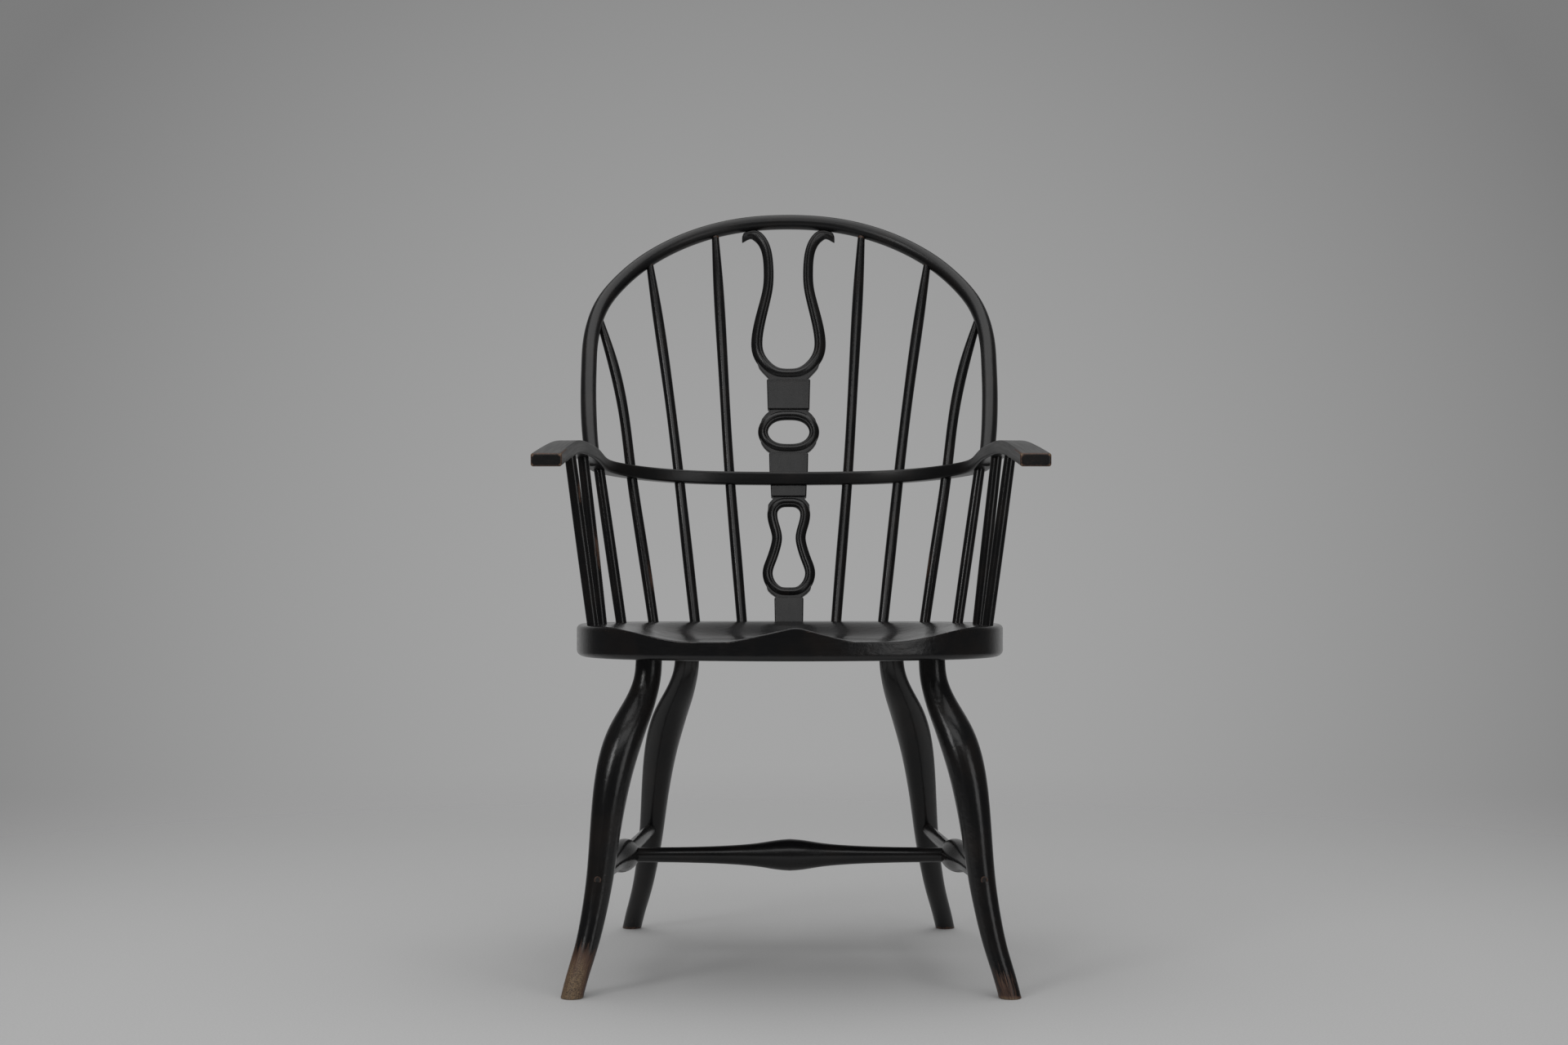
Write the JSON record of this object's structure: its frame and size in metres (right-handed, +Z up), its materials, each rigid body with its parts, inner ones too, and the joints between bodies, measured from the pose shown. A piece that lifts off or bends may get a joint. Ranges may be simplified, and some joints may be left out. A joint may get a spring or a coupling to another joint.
{
  "type": "windsor armchair",
  "caption": "Bow-back armchair with a carved plank seat on curved legs, bent arm rail and back hoop, slender spindles and a pierced splat.",
  "frame": {"origin": "on the floor, in the middle of the chair's footprint box", "axes": "+Z up, +Y towards the back of the chair, +X towards the right as seen from the front"},
  "size_m": [0.621, 0.6082, 1.0329],
  "materials": {
    "painted_seat": "worn black satin paint",
    "painted_bow": "worn black satin paint",
    "painted_splat": "worn black satin paint",
    "painted_spindle": "worn black satin paint",
    "painted_leg": "worn black satin paint",
    "painted_stretcher": "worn black satin paint",
    "peg_wood": "worn painted end grain"
  },
  "bodies": {
    "root": {"arm_bow": "painted_bow", "back_hoop": "painted_bow", "cross_stretcher": "painted_stretcher", "front_left_leg": "painted_leg", "front_right_leg": "painted_leg", "long_spindle_left_inner": "painted_spindle", "long_spindle_left_middle": "painted_spindle", "long_spindle_left_outer": "painted_spindle", "long_spindle_right_inner": "painted_spindle", "long_spindle_right_middle": "painted_spindle", "long_spindle_right_outer": "painted_spindle", "lower_splat": "painted_splat", "rear_left_leg": "painted_leg", "rear_right_leg": "painted_leg", "seat": "painted_seat", "short_spindle_left_front": "painted_spindle", "short_spindle_left_middle": "painted_spindle", "short_spindle_left_rear": "painted_spindle", "short_spindle_right_front": "painted_spindle", "short_spindle_right_middle": "painted_spindle", "short_spindle_right_rear": "painted_spindle", "side_stretcher_left": "painted_stretcher", "side_stretcher_right": "painted_stretcher", "stretcher_pegs": "peg_wood", "upper_splat": "painted_splat"}
  },
  "joints": []
}
